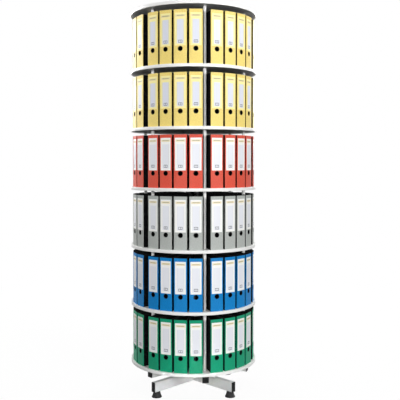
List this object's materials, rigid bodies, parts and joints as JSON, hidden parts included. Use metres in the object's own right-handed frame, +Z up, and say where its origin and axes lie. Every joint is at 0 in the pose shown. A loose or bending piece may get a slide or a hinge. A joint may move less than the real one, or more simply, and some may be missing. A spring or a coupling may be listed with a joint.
{
  "type": "rotary filing cabinet",
  "caption": "Tall round filing carousel: lever-arch files stand radially on round shelves that turn together on a cross foot with levelling feet.",
  "frame": {"origin": "floor point under the pivot, centre of the four levelling feet", "axes": "+Z up along the pivot, -Y towards the front, +X to the right of someone facing the front"},
  "size_m": [0.7997, 0.7998, 2.395],
  "materials": {
    "painted_tube_grey": "satin light grey powder coat",
    "painted_tube_white": "satin white powder coat",
    "black_cap": "moulded polyethylene",
    "black_foot": "moulded polyamide",
    "turned_steel": "turned",
    "bearing_steel": "ground",
    "white_board": "white melamine faced board, edged",
    "white_tube": "white powder coat",
    "nickel_steel": "nickel plated",
    "file_green": "green spine, black marbled covers",
    "file_blue": "blue spine, black marbled covers",
    "file_grey": "grey spine, black marbled covers",
    "file_red": "red spine, black marbled covers",
    "file_yellow": "yellow spine, black marbled covers"
  },
  "bodies": {
    "foot": {"foot_cross": "painted_tube_grey", "foot_end_caps": "black_cap", "pivot_spindle": "turned_steel", "bearing_lower_race": "bearing_steel", "bearing_ball_cage": "bearing_steel"},
    "carousel": {"bearing_upper_race": "bearing_steel", "star_frame": "painted_tube_white", "star_end_caps": "black_cap", "shelf_1": "white_board", "shelf_2": "white_board", "shelf_3": "white_board", "shelf_4": "white_board", "shelf_5": "white_board", "shelf_6": "white_board", "shelf_7": "white_board", "post_1": "white_tube", "post_2": "white_tube", "post_3": "white_tube", "post_4": "white_tube", "post_5": "white_tube", "post_6": "white_tube", "files_tier_1": "file_green", "files_tier_2": "file_blue", "files_tier_3": "file_grey", "files_tier_4": "file_red", "files_tier_5": "file_yellow", "files_tier_6": "file_yellow"},
    "levelling_foot_1": {"levelling_foot_1": "black_foot"},
    "levelling_foot_2": {"levelling_foot_2": "black_foot"},
    "levelling_foot_3": {"levelling_foot_3": "black_foot"},
    "levelling_foot_4": {"levelling_foot_4": "black_foot"},
    "sliding_file_1": {"sliding_file_1_cover": "file_green", "sliding_file_1_lever_arch": "nickel_steel"},
    "sliding_file_2": {"sliding_file_2_cover": "file_blue", "sliding_file_2_lever_arch": "nickel_steel"},
    "sliding_file_3": {"sliding_file_3_cover": "file_grey", "sliding_file_3_lever_arch": "nickel_steel"},
    "sliding_file_4": {"sliding_file_4_cover": "file_red", "sliding_file_4_lever_arch": "nickel_steel"},
    "sliding_file_5": {"sliding_file_5_cover": "file_yellow", "sliding_file_5_lever_arch": "nickel_steel"},
    "sliding_file_6": {"sliding_file_6_cover": "file_yellow", "sliding_file_6_lever_arch": "nickel_steel"}
  },
  "joints": [
    {"name": "carousel_turn", "type": "hinge", "parent": "foot", "child": "carousel", "pos_m": [0, 0, 0.11], "axis": [0, 0, 1], "continuous": true},
    {"name": "levelling_foot_1_turn", "type": "hinge", "parent": "foot", "child": "levelling_foot_1", "pos_m": [0.22622, -0.22622, 0.035], "axis": [0, 0, 1], "continuous": true},
    {"name": "levelling_foot_2_turn", "type": "hinge", "parent": "foot", "child": "levelling_foot_2", "pos_m": [0.22622, 0.22622, 0.035], "axis": [0, 0, 1], "continuous": true},
    {"name": "levelling_foot_3_turn", "type": "hinge", "parent": "foot", "child": "levelling_foot_3", "pos_m": [-0.22622, 0.22622, 0.035], "axis": [0, 0, 1], "continuous": true},
    {"name": "levelling_foot_4_turn", "type": "hinge", "parent": "foot", "child": "levelling_foot_4", "pos_m": [-0.22622, -0.22622, 0.035], "axis": [0, 0, 1], "continuous": true},
    {"name": "file_1_slide", "type": "slide", "parent": "carousel", "child": "sliding_file_1", "axis": [0.0393, -0.9992, 0], "range_m": [0, 0.285]},
    {"name": "file_2_slide", "type": "slide", "parent": "carousel", "child": "sliding_file_2", "axis": [0.0393, -0.9992, 0], "range_m": [0, 0.285]},
    {"name": "file_3_slide", "type": "slide", "parent": "carousel", "child": "sliding_file_3", "axis": [0.0393, -0.9992, 0], "range_m": [0, 0.285]},
    {"name": "file_4_slide", "type": "slide", "parent": "carousel", "child": "sliding_file_4", "axis": [0.0393, -0.9992, 0], "range_m": [0, 0.285]},
    {"name": "file_5_slide", "type": "slide", "parent": "carousel", "child": "sliding_file_5", "axis": [0.0393, -0.9992, 0], "range_m": [0, 0.285]},
    {"name": "file_6_slide", "type": "slide", "parent": "carousel", "child": "sliding_file_6", "axis": [0.0393, -0.9992, 0], "range_m": [0, 0.285]}
  ]
}
